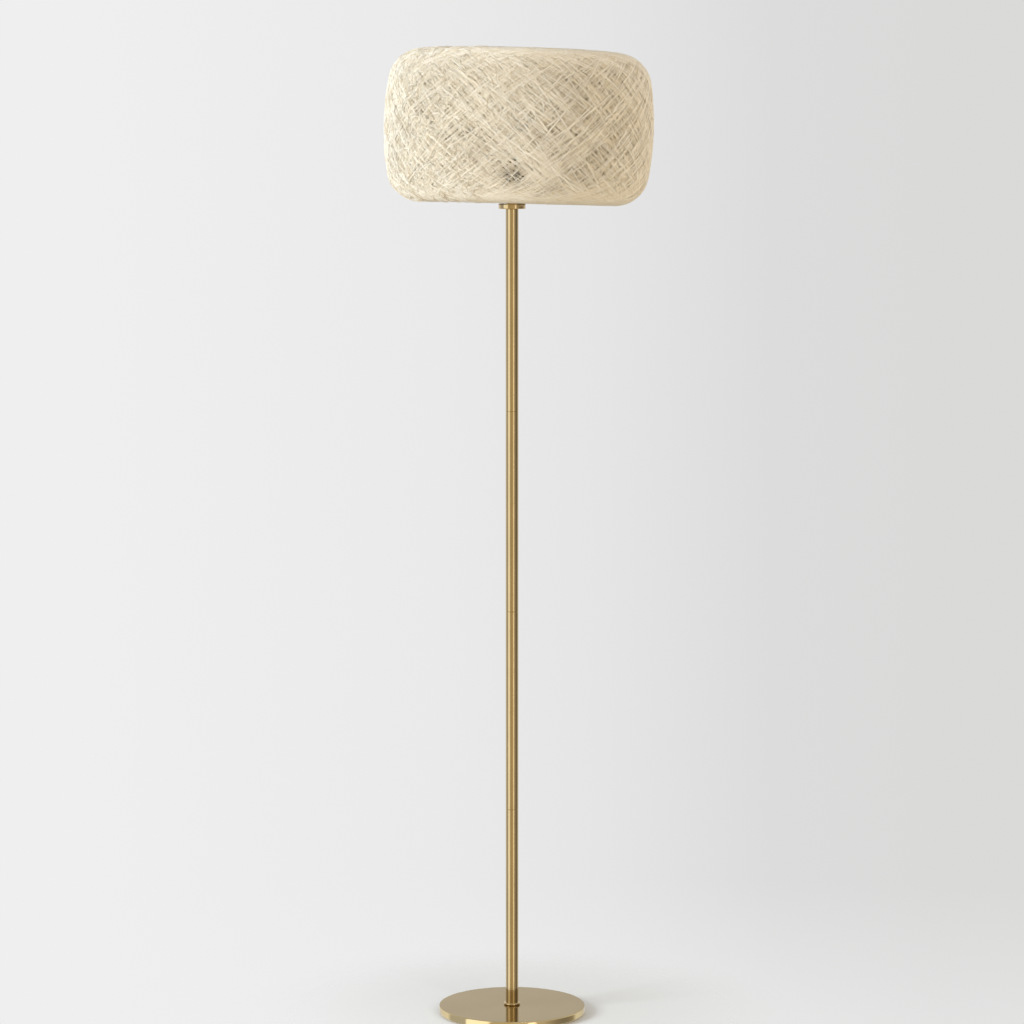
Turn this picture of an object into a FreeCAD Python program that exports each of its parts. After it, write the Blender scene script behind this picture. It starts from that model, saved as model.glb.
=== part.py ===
import FreeCAD, Part
import math
import os

# Floor lamp with a round weighted base, a brass pole in screwed sections and a low drum shade of
# natural fibre wound over a cage of wire. The shade hangs on a harp round a turn-key lampholder.
# Frame: +Z up, origin on the floor under the middle of the base, +X to the right of someone who
# faces the lamp, +Y to the back. All sizes are in millimetres.

# ---- driving dimensions ----------------------------------------------------------------------

# base
BASE_R = 110.0
BASE_T = 10.0
BASE_TOP_EDGE_R = 1.5
BASE_FOOT_EDGE_R = 0.8
PAD_R = 102.0
PAD_T = 2.5
PAD_HOLE_R = 27.0
PAD_EDGE_R = 0.6
RECESS_R = 24.0
RECESS_D = 6.0
CORD_SLOT_W = 10.0
CORD_SLOT_H = 7.5
CORD_HOLE_R = 2.7
BUSHING_L = 9.0
BUSHING_LIP_T = 2.0
BUSHING_LIP_OVER = 1.5
COLLAR_R = 12.5
COLLAR_H = 6.0
COLLAR_EDGE_R = 1.2

# pole
POLE_R = 9.5
POLE_WALL = 1.2
POLE_SECTIONS = 4
SECTION_L = 299.0
SECTION_EDGE = 0.4
PLUG_L = 14.0
FLANGE_R = 20.0
FLANGE_T = 8.0
FLANGE_EDGE_R = 1.5

# threaded pipe, nuts and washer
PIPE_R = 4.9
PIPE_BORE_R = 3.1
PIPE_REACH = 12.0
HEX_FLATS = 14.0
BASE_NUT_T = 4.0
BASE_WASHER_R = 15.0
BASE_WASHER_T = 1.5
CAP_NUT_T = 3.0

# lampholder
HOLDER_R = 20.0
HOLDER_H = 60.0
HOLDER_WALL = 2.0
HOLDER_DOME_R = 6.0
CAP_H = 14.0
CAP_NECK_R = 11.0
CAP_BOSS_R = 8.0
CAP_BOSS_H = 6.0
SPIGOT_H = 3.0
SHELL_WALL = 2.1
SHELL_MOUTH_R = 18.0
SHELL_TAPER_H = 19.0
SHELL_SHOULDER_R = 12.0
SHELL_MOUTH_EDGE_R = 0.7
LINER_T = 0.6
LINER_SET_BACK = 1.0
SWITCH_BODY_TOP = 33.0
SWITCH_BODY_BEVEL = 1.5
SCREW_SHELL_T = 0.4
SCREW_SHELL_H = 24.0
SCREW_SHELL_SEAT_R = 9.0
CONTACT_W = 5.0
CONTACT_L = 12.0
CONTACT_T = 0.6
CONTACT_BUTTON_R = 2.5
CONTACT_H = 2.0
TERMINAL_AT = 10.4
TERMINAL_R = 1.2
TERMINAL_HEAD_R = 2.1
TERMINAL_HEAD_T = 1.6
TERMINAL_L = 6.0

# turn key
KEY_Z = 22.0
KEY_STEM_R = 2.0
KEY_STEM_INNER = 6.0
KEY_STEM_IN_KNOB = 10.0
KEY_X = 38.0
KEY_L = 18.0
KEY_R = 6.5
KEY_NECK_R = 4.2
KEY_NECK_L = 3.5
KEY_BLADE_T = 7.0
KEY_BLADE_INSET = 1.0
KEY_NECK_EDGE_R = 0.6
KEY_SHOULDER_R = 2.0
KEY_TIP_R = 3.0

# bulb
BULB_CAP_R = 13.0
BULB_CAP_T = 0.4
BULB_CAP_L = 21.0
BULB_CAP_CONE_H = 2.5
BULB_CAP_EDGE_R = 1.5
BULB_TIP_R = 3.5
BULB_TIP_H = 1.2
BULB_INSULATOR_R = 9.5
BULB_INSULATOR_H = 2.8
BULB_R = 30.0
BULB_L = 108.0
BULB_GLASS_T = 0.8
BULB_NECK_R = 12.4
BULB_NECK_IN_CAP = 5.0
BULB_TAPER_DEG = 22.0
BULB_NECK_BEND_R = 30.0
BULB_CROWN_SHARE = 0.9999

# harp
SADDLE_W = 16.0
SADDLE_T = 1.5
SADDLE_BEND_R = 4.0
SADDLE_ARM_Y = 27.0
SADDLE_ARM_H = 20.0
TONGUE_W = 5.0
TONGUE_H = 9.0
FOOT_R = 4.2
FOOT_H = 12.5
SLEEVE_WALL = 1.2
SLEEVE_H = 12.0
SLEEVE_EDGE_R = 0.5
HARP_WIRE_R = 1.9
HARP_HALF_W = 60.0
HARP_LEG_H = 21.0
HARP_FLARE_H = 42.0
HARP_LEG_BEND_R = 20.0
HARP_SHOULDER_BEND_R = 30.0
HARP_TOP_BEND_R = 48.0
EYE_R = 8.0
EYE_T = 4.0
EYE_EDGE_R = 0.8
STUD_R = 3.1
STUD_L = 13.5
SEAT_R = 9.0
SEAT_T = 1.8
RIVET_HEAD_R = 5.0
RIVET_HEAD_T = 1.6

# finial
FINIAL_H = 17.5
FINIAL_BASE_R = 7.0
FINIAL_BASE_T = 3.0
FINIAL_WAIST_R = 4.6
FINIAL_BALL_R = 7.0
FINIAL_BORE_D = 12.6
FINIAL_FOOT_EDGE_R = 0.5
FINIAL_BASE_EDGE_R = 1.0
FINIAL_WAIST_H = 1.5
FINIAL_BALL_RISE = 3.0
FINIAL_BALL_FOOT_R = 3.0
FINIAL_CROWN_R = 6.0

# shade: outer face of the wound fibre
SHADE_R = 198.5
SHADE_H = 222.0
SHADE_ABOVE_FLANGE = 0.3
SHADE_SIDE_R = 430.0
SHADE_CORNER_R = 50.0
SHADE_LIP_L = 3.572
SHADE_CORE_T = 3.0
RING_WIRE_R = 2.0
RIBS = 8
RIB_FIRST_DEG = 22.5
RIB_WIRE_R = 1.5
HUB_R = 13.0
HUB_T = 2.0
HUB_EDGE_R = 0.5
HUB_BELOW_RIM = 20.2
ARMS = 3
ARM_FIRST_DEG = 90.0
ARM_WIRE_R = 1.75
ARM_FLAT_L = 45.0
ARM_BEND_R = 60.0
ARM_IN_HUB = 1.0

# winding of the outer fibre strand over the core
STRAND_R = 1.2
STRAND_LAYER_STEP = 3.3
STRAND_LOOPS = 12
STRAND_TURNS = 7
STRAND_SHORT_OF_MOUTH = 2.5
STRAND_SHARPNESS = 0.94
STRAND_LAYER_CHANGE = 4.0
STRAND_SIDE_SPANS = 1
STRAND_CORNER_SPANS = 3
STRAND_LEFT_OPEN = 0.1

# clearances
THREAD_GAP = 0.1
FIT_GAP = 0.1
PIN_GAP = 0.1
RUN_GAP = 0.2
SLIDE_GAP = 0.3
SOFT_GAP = 0.3
TONGUE_GAP = 0.3

# ---- heights that follow from them -----------------------------------------------------------

BASE_Z = PAD_T
BASE_TOP_Z = BASE_Z + BASE_T
FLANGE_Z = BASE_TOP_Z + POLE_SECTIONS * SECTION_L
SADDLE_Z = FLANGE_Z + FLANGE_T
HOLDER_Z = SADDLE_Z + SADDLE_T + CAP_NUT_T
SHOULDER_Z = SADDLE_Z + SADDLE_ARM_H
FOOT_TOP_Z = SHOULDER_Z + FOOT_H
SHADE_Z = SADDLE_Z + SHADE_ABOVE_FLANGE
SHADE_MID_Z = SHADE_Z + SHADE_H / 2
HUB_Z = SHADE_Z + SHADE_H - HUB_BELOW_RIM
FINIAL_Z = HUB_Z + HUB_T + FIT_GAP
SEAT_TOP_Z = HUB_Z - FIT_GAP
EYE_TOP_Z = SEAT_TOP_Z - SEAT_T - RUN_GAP
SWITCH_TOP_Z = HOLDER_Z + SWITCH_BODY_TOP
BULB_Z = SWITCH_TOP_Z + CONTACT_H + RUN_GAP

# how far each layer of the shade's wall lies inside its outer face
STRAND_MID_INSET = STRAND_R + STRAND_LAYER_STEP / 2
CORE_INSET = 2 * STRAND_R + STRAND_LAYER_STEP + SOFT_GAP
WIRE_FACE_INSET = CORE_INSET + SHADE_CORE_T + RUN_GAP

# the shade's outline: a shallow side arc, a corner arc tangent to it and a flat lip to the mouth
CORNER_CENTRE_H = SHADE_H / 2 - SHADE_CORNER_R
SIDE_CENTRE_R = SHADE_R - SHADE_SIDE_R
CORNER_CENTRE_R = SIDE_CENTRE_R + math.sqrt(
    (SHADE_SIDE_R - SHADE_CORNER_R) ** 2 - CORNER_CENTRE_H**2
)
SIDE_ANGLE = math.asin(CORNER_CENTRE_H / (SHADE_SIDE_R - SHADE_CORNER_R))
SIDE_L = SHADE_SIDE_R * SIDE_ANGLE
CORNER_L = SHADE_CORNER_R * (math.pi / 2 - SIDE_ANGLE)
STRAND_REACH = SIDE_L + CORNER_L + SHADE_LIP_L - STRAND_SHORT_OF_MOUTH
SHADE_MOUTH_R = CORNER_CENTRE_R - SHADE_LIP_L
RING_R = SHADE_MOUTH_R + RING_WIRE_R

X_AXIS = FreeCAD.Vector(1, 0, 0)
Y_AXIS = FreeCAD.Vector(0, 1, 0)
Z_AXIS = FreeCAD.Vector(0, 0, 1)
ORIGIN = FreeCAD.Vector(0, 0, 0)


# ---- shape helpers ---------------------------------------------------------------------------


def rounded_path(corners, closed=False):
    """Edges through (x, z, radius) corners in the XZ plane, each corner rounded by its radius."""
    spots = [FreeCAD.Vector(x, 0, z) for x, z, _ in corners]
    count = len(corners)
    starts, arcs, ends = [], [], []
    for i, (_, _, radius) in enumerate(corners):
        inner = closed or 0 < i < count - 1
        if not radius or not inner:
            starts.append(spots[i])
            arcs.append(None)
            ends.append(spots[i])
            continue
        back = (spots[i - 1] - spots[i]).normalize()
        ahead = (spots[(i + 1) % count] - spots[i]).normalize()
        half = back.getAngle(ahead) / 2
        reach = radius / math.tan(half)
        starts.append(spots[i] + back * reach)
        ends.append(spots[i] + ahead * reach)
        inward = (back + ahead).normalize()
        middle = spots[i] + inward * (radius / math.sin(half) - radius)
        arcs.append(Part.Arc(starts[i], middle, ends[i]).toShape())
    edges = []
    for i in range(count):
        if arcs[i]:
            edges.append(arcs[i])
        if i < count - 1 or closed:
            after = starts[(i + 1) % count]
            if (after - ends[i]).Length > 1e-6:
                edges.append(Part.LineSegment(ends[i], after).toShape())
    return edges


def turned(corners, z=0.0):
    """Solid turned about Z from an outline of (radius, height, corner radius)."""
    face = Part.Face(Part.Wire(rounded_path(corners, closed=True)))
    solid = face.revolve(ORIGIN, Z_AXIS, 360)
    solid.translate(FreeCAD.Vector(0, 0, z))
    return solid


def ring(outer, inner, z, height, edge=0.0):
    """Flat ring, or a tube, with its outer rims rounded by edge."""
    return turned(
        [(inner, 0, 0), (outer, 0, edge), (outer, height, edge), (inner, height, 0)], z
    )


def disc(radius, z, height, edge=0.0):
    return turned([(0, 0, 0), (radius, 0, edge), (radius, height, edge), (0, height, 0)], z)


def rod(radius, start, direction, length):
    return Part.makeCylinder(radius, length, start, direction)


def wire_rod(edges, radius):
    """Round wire of this radius along tangent edges."""
    path = Part.Wire(edges)
    first = path.OrderedEdges[0]
    at = path.OrderedVertexes[0].Point
    along = first.tangentAt(first.FirstParameter)
    if (first.valueAt(first.FirstParameter) - at).Length > 1e-6:
        along = first.tangentAt(first.LastParameter) * -1
    section = Part.Wire(Part.makeCircle(radius, at, along))
    return path.makePipeShell([section], True, False)


def about_z(shape, degrees):
    copy = shape.copy()
    copy.rotate(ORIGIN, Z_AXIS, degrees)
    return copy


def in_yz(shape):
    """The same shape with its XZ plane turned into the YZ plane."""
    return about_z(shape, 90)


def hex_nut(z, height):
    """Nut across HEX_FLATS for the threaded pipe."""
    corner_r = HEX_FLATS / 2 / math.cos(math.pi / 6)
    corners = [
        FreeCAD.Vector(corner_r * math.cos(a), corner_r * math.sin(a), z)
        for a in (math.radians(60 * i) for i in range(7))
    ]
    prism = Part.Face(Part.makePolygon(corners)).extrude(FreeCAD.Vector(0, 0, height))
    return prism.cut(rod(PIPE_R + THREAD_GAP, FreeCAD.Vector(0, 0, z), Z_AXIS, height))


def pipe(z, length):
    return ring(PIPE_R, PIPE_BORE_R, z, length)


# ---- base ------------------------------------------------------------------------------------


def base_plate():
    """Round plate with a recess under it for the nut and a slot for the lead to the back rim."""
    plate = turned(
        [
            (0, 0, 0),
            (BASE_R, 0, BASE_FOOT_EDGE_R),
            (BASE_R, BASE_T, BASE_TOP_EDGE_R),
            (0, BASE_T, 0),
        ],
        BASE_Z,
    )
    floor = FreeCAD.Vector(0, 0, BASE_Z)
    plate = plate.cut(rod(RECESS_R, floor, Z_AXIS, RECESS_D))
    plate = plate.cut(rod(PIPE_R + THREAD_GAP, floor, Z_AXIS, BASE_T))
    corner = FreeCAD.Vector(-CORD_SLOT_W / 2, 0, BASE_Z)
    return plate.cut(Part.makeBox(CORD_SLOT_W, BASE_R, CORD_SLOT_H, corner)).removeSplitter()


def cord_bushing():
    """Insulating bushing in the mouth of the slot, with a lip outside the rim."""
    width = CORD_SLOT_W - 2 * FIT_GAP
    height = CORD_SLOT_H - FIT_GAP
    start = BASE_R - BUSHING_L
    block = Part.makeBox(width, BUSHING_L, height, FreeCAD.Vector(-width / 2, start, BASE_Z))
    lip_w = CORD_SLOT_W + 2 * BUSHING_LIP_OVER
    lip_h = CORD_SLOT_H + BUSHING_LIP_OVER
    lip = Part.makeBox(lip_w, BUSHING_LIP_T, lip_h, FreeCAD.Vector(-lip_w / 2, BASE_R, BASE_Z))
    upright = [e for e in lip.Edges if abs(e.tangentAt(e.FirstParameter).y) > 0.99]
    lip = lip.makeFillet(BUSHING_LIP_OVER, upright)
    axis_at = FreeCAD.Vector(0, start, BASE_Z + CORD_SLOT_H / 2)
    return block.fuse(lip).cut(rod(CORD_HOLE_R, axis_at, Y_AXIS, BUSHING_L + BUSHING_LIP_T))


def base_nodes():
    washer_z = BASE_Z + RECESS_D - BASE_WASHER_T
    nut_z = washer_z - BASE_NUT_T
    pipe_hole = PIPE_R + THREAD_GAP
    return {
        "base_plate": base_plate(),
        "base_foot_pad": ring(PAD_R, PAD_HOLE_R, 0, PAD_T, PAD_EDGE_R),
        "base_washer": ring(BASE_WASHER_R, pipe_hole, washer_z, BASE_WASHER_T),
        "base_nut": hex_nut(nut_z, BASE_NUT_T),
        "base_pipe": pipe(nut_z, BASE_TOP_Z + PIPE_REACH - nut_z),
        "base_collar": turned(
            [
                (POLE_R + FIT_GAP, 0, 0),
                (COLLAR_R, 0, 0),
                (COLLAR_R, COLLAR_H, COLLAR_EDGE_R),
                (POLE_R + FIT_GAP, COLLAR_H, 0),
            ],
            BASE_TOP_Z,
        ),
        "cord_bushing": cord_bushing(),
    }


# ---- pole ------------------------------------------------------------------------------------


def pole_section(index):
    """Tube whose ends are eased, which leaves a fine line at each joint."""
    inner = POLE_R - POLE_WALL
    eased = POLE_R - SECTION_EDGE
    return turned(
        [
            (inner, 0, 0),
            (eased, 0, 0),
            (POLE_R, SECTION_EDGE, 0),
            (POLE_R, SECTION_L - SECTION_EDGE, 0),
            (eased, SECTION_L, 0),
            (inner, SECTION_L, 0),
        ],
        BASE_TOP_Z + index * SECTION_L,
    )


def pole_nodes():
    nodes, plugs, joiners = {}, [], []
    for i in range(POLE_SECTIONS):
        foot = BASE_TOP_Z + i * SECTION_L
        nodes[f"pole_section_{i + 1}"] = pole_section(i)
        for z in (foot, foot + SECTION_L - PLUG_L):
            plugs.append(ring(POLE_R - POLE_WALL - FIT_GAP, PIPE_R + THREAD_GAP, z, PLUG_L))
        if i:
            joiners.append(pipe(foot - PIPE_REACH, 2 * PIPE_REACH))
    nodes["pole_plugs"] = Part.makeCompound(plugs)
    nodes["pole_joiners"] = Part.makeCompound(joiners)
    nodes["top_flange"] = ring(FLANGE_R, PIPE_R + THREAD_GAP, FLANGE_Z, FLANGE_T, FLANGE_EDGE_R)
    pipe_foot = FLANGE_Z - PIPE_REACH
    pipe_top = HOLDER_Z + CAP_BOSS_H - SLIDE_GAP
    nodes["top_pipe"] = pipe(pipe_foot, pipe_top - pipe_foot)
    nodes["cap_nut"] = hex_nut(HOLDER_Z - CAP_NUT_T, CAP_NUT_T)
    return nodes


# ---- lampholder ------------------------------------------------------------------------------


def key_hole(reach):
    """Cutter for the key's stem, from its inner end out to this distance."""
    start = FreeCAD.Vector(KEY_STEM_INNER - RUN_GAP, 0, HOLDER_Z + KEY_Z)
    return rod(KEY_STEM_R + PIN_GAP, start, X_AXIS, reach)


def holder_cap():
    """Domed cap with a threaded boss, screwed to the top pipe."""
    inner_neck = CAP_NECK_R - HOLDER_WALL / 2
    inner = HOLDER_R - HOLDER_WALL
    shoulder_h = min(HOLDER_R - CAP_NECK_R, CAP_H - SPIGOT_H)
    dome = turned(
        [
            (0, 0, 0),
            (CAP_NECK_R, 0, 0),
            (HOLDER_R, shoulder_h, HOLDER_DOME_R),
            (HOLDER_R, CAP_H, 0),
            (0, CAP_H, 0),
        ]
    )
    hollow = turned(
        [
            (0, HOLDER_WALL, 0),
            (inner_neck, HOLDER_WALL, 0),
            (inner, shoulder_h, HOLDER_DOME_R - HOLDER_WALL),
            (inner, CAP_H, 0),
            (0, CAP_H, 0),
        ]
    )
    cap = dome.cut(hollow).fuse(disc(CAP_BOSS_R, 0, CAP_BOSS_H))
    cap = cap.cut(rod(PIPE_R + THREAD_GAP, ORIGIN, Z_AXIS, CAP_BOSS_H))
    cap.translate(FreeCAD.Vector(0, 0, HOLDER_Z))
    return cap.removeSplitter()


SPIGOT_R = HOLDER_R - HOLDER_WALL - FIT_GAP
SHELL_INNER_R = SPIGOT_R - SHELL_WALL
LINER_INNER_R = SHELL_INNER_R - FIT_GAP - LINER_T


def holder_shell():
    """Moulded shell on a spigot in the cap, tapering to a rounded mouth."""
    shell = turned(
        [
            (SHELL_INNER_R, CAP_H - SPIGOT_H, 0),
            (SPIGOT_R, CAP_H - SPIGOT_H, 0),
            (SPIGOT_R, CAP_H, 0),
            (HOLDER_R, CAP_H, 0),
            (HOLDER_R, HOLDER_H - SHELL_TAPER_H, SHELL_SHOULDER_R),
            (SHELL_MOUTH_R, HOLDER_H, SHELL_MOUTH_EDGE_R),
            (SHELL_INNER_R, HOLDER_H, 0),
        ],
        HOLDER_Z,
    )
    return shell.cut(key_hole(2 * HOLDER_R))


def switch_body():
    """Insulating block that holds the contacts, the key's stem and the terminal screws."""
    radius = LINER_INNER_R - FIT_GAP
    block = turned(
        [
            (0, CAP_BOSS_H, 0),
            (radius - SWITCH_BODY_BEVEL, CAP_BOSS_H, 0),
            (radius, CAP_BOSS_H + SWITCH_BODY_BEVEL, 0),
            (radius, SWITCH_BODY_TOP, 0),
            (0, SWITCH_BODY_TOP, 0),
        ],
        HOLDER_Z,
    )
    block = block.cut(key_hole(radius))
    for side in (-1, 1):
        at = FreeCAD.Vector(0, side * TERMINAL_AT, HOLDER_Z + CAP_BOSS_H)
        block = block.cut(rod(TERMINAL_R + THREAD_GAP, at, Z_AXIS, TERMINAL_L))
    return block


def terminal_screws():
    screws = []
    for side in (-1, 1):
        at = FreeCAD.Vector(0, side * TERMINAL_AT, HOLDER_Z + CAP_BOSS_H - TERMINAL_HEAD_T)
        head = rod(TERMINAL_HEAD_R, at, Z_AXIS, TERMINAL_HEAD_T)
        shank = rod(TERMINAL_R, at, Z_AXIS, TERMINAL_HEAD_T + TERMINAL_L - THREAD_GAP)
        screws.append(head.fuse(shank))
    return Part.makeCompound(screws)


def screw_shell():
    """Thin brass cup that takes the bulb's cap; its thread is left smooth."""
    inner = BULB_CAP_R + SLIDE_GAP
    outer = inner + SCREW_SHELL_T
    return turned(
        [
            (SCREW_SHELL_SEAT_R, 0, 0),
            (outer, 0, 0),
            (outer, SCREW_SHELL_H, 0),
            (inner, SCREW_SHELL_H, 0),
            (inner, SCREW_SHELL_T, 0),
            (SCREW_SHELL_SEAT_R, SCREW_SHELL_T, 0),
        ],
        SWITCH_TOP_Z,
    )


def centre_contact():
    """Spring tab with a raised button for the bulb's tip."""
    corner = FreeCAD.Vector(-CONTACT_L / 2, -CONTACT_W / 2, SWITCH_TOP_Z)
    tab = Part.makeBox(CONTACT_L, CONTACT_W, CONTACT_T, corner)
    return tab.fuse(disc(CONTACT_BUTTON_R, SWITCH_TOP_Z, CONTACT_H, CONTACT_T / 2))


def holder_nodes():
    liner_r = SHELL_INNER_R - FIT_GAP
    liner_z = HOLDER_Z + CAP_H - SPIGOT_H
    liner = ring(liner_r, LINER_INNER_R, liner_z, HOLDER_Z + HOLDER_H - liner_z - LINER_SET_BACK)
    return {
        "holder_cap": holder_cap(),
        "holder_shell": holder_shell(),
        "holder_liner": liner.cut(key_hole(2 * HOLDER_R)),
        "switch_body": switch_body(),
        "terminal_screws": terminal_screws(),
        "screw_shell": screw_shell(),
        "centre_contact": centre_contact(),
    }


def key_nodes():
    """Stem and flat-bladed knob of the switch, both on one axis along +X."""
    z = HOLDER_Z + KEY_Z
    stem_l = KEY_X + KEY_STEM_IN_KNOB - KEY_STEM_INNER
    stem = rod(KEY_STEM_R, FreeCAD.Vector(KEY_STEM_INNER, 0, z), X_AXIS, stem_l)
    knob = turned(
        [
            (0, 0, 0),
            (KEY_NECK_R, 0, KEY_NECK_EDGE_R),
            (KEY_R, KEY_NECK_L, KEY_SHOULDER_R),
            (KEY_R, KEY_L, KEY_TIP_R),
            (0, KEY_L, 0),
        ]
    )
    for y in (KEY_BLADE_T / 2, -KEY_R - KEY_BLADE_T / 2):
        corner = FreeCAD.Vector(-KEY_R, y, KEY_NECK_L + KEY_BLADE_INSET)
        knob = knob.cut(Part.makeBox(2 * KEY_R, KEY_R, KEY_L, corner))
    knob = knob.cut(rod(KEY_STEM_R + FIT_GAP, ORIGIN, Z_AXIS, KEY_STEM_IN_KNOB + FIT_GAP))
    knob.rotate(ORIGIN, Y_AXIS, 90)
    knob.translate(FreeCAD.Vector(KEY_X, 0, z))
    return {"key_stem": stem, "key_knob": knob}


# ---- bulb ------------------------------------------------------------------------------------


def bulb_outline(inset):
    """Closed outline of the glass, inset from its outer face, from the top down to the neck."""
    top = BULB_L - inset
    radius = BULB_R - inset
    neck_r = BULB_NECK_R - inset
    slope = math.radians(90 - BULB_TAPER_DEG)
    crown_x = radius / math.tan(slope / 2)
    neck_z = top - (crown_x - neck_r) * math.tan(slope)
    foot = BULB_TIP_H + BULB_INSULATOR_H + BULB_CAP_L - BULB_NECK_IN_CAP
    return [
        (0, top, 0),
        (crown_x, top, radius * BULB_CROWN_SHARE),
        (neck_r, neck_z, BULB_NECK_BEND_R),
        (neck_r, foot, 0),
        (0, foot, 0),
    ]


def bulb_nodes():
    glass = turned(bulb_outline(0), BULB_Z).cut(turned(bulb_outline(BULB_GLASS_T), BULB_Z))
    insulator_z = BULB_TIP_H
    cap_z = BULB_TIP_H + BULB_INSULATOR_H
    cone_z = cap_z + BULB_CAP_CONE_H
    insulator = turned(
        [
            (0, insulator_z, 0),
            (BULB_TIP_R, insulator_z, 0),
            (BULB_INSULATOR_R, cap_z, 0),
            (BULB_INSULATOR_R, cap_z + BULB_CAP_T, 0),
            (0, cap_z + BULB_CAP_T, 0),
        ],
        BULB_Z,
    )
    cap = turned(
        [
            (BULB_INSULATOR_R, cap_z, 0),
            (BULB_CAP_R, cone_z, BULB_CAP_EDGE_R),
            (BULB_CAP_R, cap_z + BULB_CAP_L, 0),
            (BULB_CAP_R - BULB_CAP_T, cap_z + BULB_CAP_L, 0),
            (BULB_CAP_R - BULB_CAP_T, cone_z + BULB_CAP_T, BULB_CAP_EDGE_R),
            (BULB_INSULATOR_R, cap_z + BULB_CAP_T, 0),
        ],
        BULB_Z,
    )
    return {
        "bulb_glass": glass,
        "bulb_cap": cap,
        "bulb_insulator": insulator,
        "bulb_tip": disc(BULB_TIP_R, BULB_Z, BULB_TIP_H, BULB_TIP_H / 2),
    }


# ---- harp ------------------------------------------------------------------------------------


def harp_saddle():
    """Bent strip under the lampholder whose two tongues carry the harp."""
    reach = SADDLE_ARM_Y + SADDLE_T / 2
    inner = SADDLE_ARM_Y - SADDLE_T / 2
    bend = SADDLE_BEND_R
    section = Part.Wire(
        rounded_path(
            [
                (-reach, SADDLE_ARM_H + TONGUE_H, 0),
                (-reach, 0, bend),
                (reach, 0, bend),
                (reach, SADDLE_ARM_H + TONGUE_H, 0),
                (inner, SADDLE_ARM_H + TONGUE_H, 0),
                (inner, SADDLE_T, bend - SADDLE_T),
                (-inner, SADDLE_T, bend - SADDLE_T),
                (-inner, SADDLE_ARM_H + TONGUE_H, 0),
            ],
            closed=True,
        )
    )
    strip = Part.Face(section).extrude(Y_AXIS * SADDLE_W)
    strip.translate(Y_AXIS * (-SADDLE_W / 2))
    for side in (-1, 1):
        y = TONGUE_W / 2 if side > 0 else -SADDLE_W / 2
        notch = Part.makeBox(
            2 * reach, (SADDLE_W - TONGUE_W) / 2, TONGUE_H, FreeCAD.Vector(-reach, y, SADDLE_ARM_H)
        )
        strip = strip.cut(notch)
    strip = strip.cut(rod(PIPE_R + THREAD_GAP, ORIGIN, Z_AXIS, SADDLE_T))
    strip.translate(FreeCAD.Vector(0, 0, SADDLE_Z))
    return in_yz(strip)


def harp_wire():
    """Sprung wire loop, flattened at its top into an eye for the swivel."""
    wire_z = EYE_TOP_Z - EYE_T / 2
    half = wire_rod(
        rounded_path(
            [
                (SADDLE_ARM_Y, FOOT_TOP_Z, 0),
                (SADDLE_ARM_Y, FOOT_TOP_Z + HARP_LEG_H, HARP_LEG_BEND_R),
                (HARP_HALF_W, FOOT_TOP_Z + HARP_LEG_H + HARP_FLARE_H, HARP_SHOULDER_BEND_R),
                (HARP_HALF_W, wire_z, HARP_TOP_BEND_R),
                (EYE_R - HARP_WIRE_R, wire_z, 0),
            ]
        ),
        HARP_WIRE_R,
    )
    other = half.copy()
    other.rotate(ORIGIN, Z_AXIS, 180)
    eye = disc(EYE_R, EYE_TOP_Z - EYE_T, EYE_T, EYE_EDGE_R)
    loop = eye.fuse([half, other])
    hole = rod(STUD_R + PIN_GAP, FreeCAD.Vector(0, 0, EYE_TOP_Z - EYE_T), Z_AXIS, EYE_T)
    return in_yz(loop.cut(hole))


def harp_feet():
    """Slotted ferrules on the wire's two ends, which straddle the saddle's tongues."""
    feet = []
    for side in (-1, 1):
        at = FreeCAD.Vector(0, side * SADDLE_ARM_Y, SHOULDER_Z)
        width = TONGUE_W + 2 * TONGUE_GAP
        depth = SADDLE_T + 2 * TONGUE_GAP
        corner = at - FreeCAD.Vector(width / 2, depth / 2, 0)
        slot = Part.makeBox(width, depth, TONGUE_H + TONGUE_GAP, corner)
        feet.append(rod(FOOT_R, at, Z_AXIS, FOOT_H).cut(slot))
    return Part.makeCompound(feet)


def harp_sleeve(side):
    """Locking sleeve that drops over a foot and slides up the leg to free it."""
    inner = FOOT_R + RUN_GAP
    sleeve = ring(inner + SLEEVE_WALL, inner, SHOULDER_Z, SLEEVE_H, SLEEVE_EDGE_R)
    sleeve.translate(FreeCAD.Vector(0, side * SADDLE_ARM_Y, 0))
    return sleeve


def harp_swivel():
    """Turned stud riveted through the eye, free to turn, with the seat that carries the shade."""
    rivet_z = EYE_TOP_Z - EYE_T - RUN_GAP
    seat_z = EYE_TOP_Z + RUN_GAP
    return turned(
        [
            (0, rivet_z - RIVET_HEAD_T, 0),
            (RIVET_HEAD_R, rivet_z - RIVET_HEAD_T, RIVET_HEAD_T / 2),
            (RIVET_HEAD_R, rivet_z, 0),
            (STUD_R, rivet_z, 0),
            (STUD_R, seat_z, 0),
            (SEAT_R, seat_z, 0),
            (SEAT_R, SEAT_TOP_Z, SEAT_T / 3),
            (STUD_R, SEAT_TOP_Z, 0),
            (STUD_R, SEAT_TOP_Z + STUD_L, STUD_R / 4),
            (0, SEAT_TOP_Z + STUD_L, 0),
        ]
    )


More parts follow.
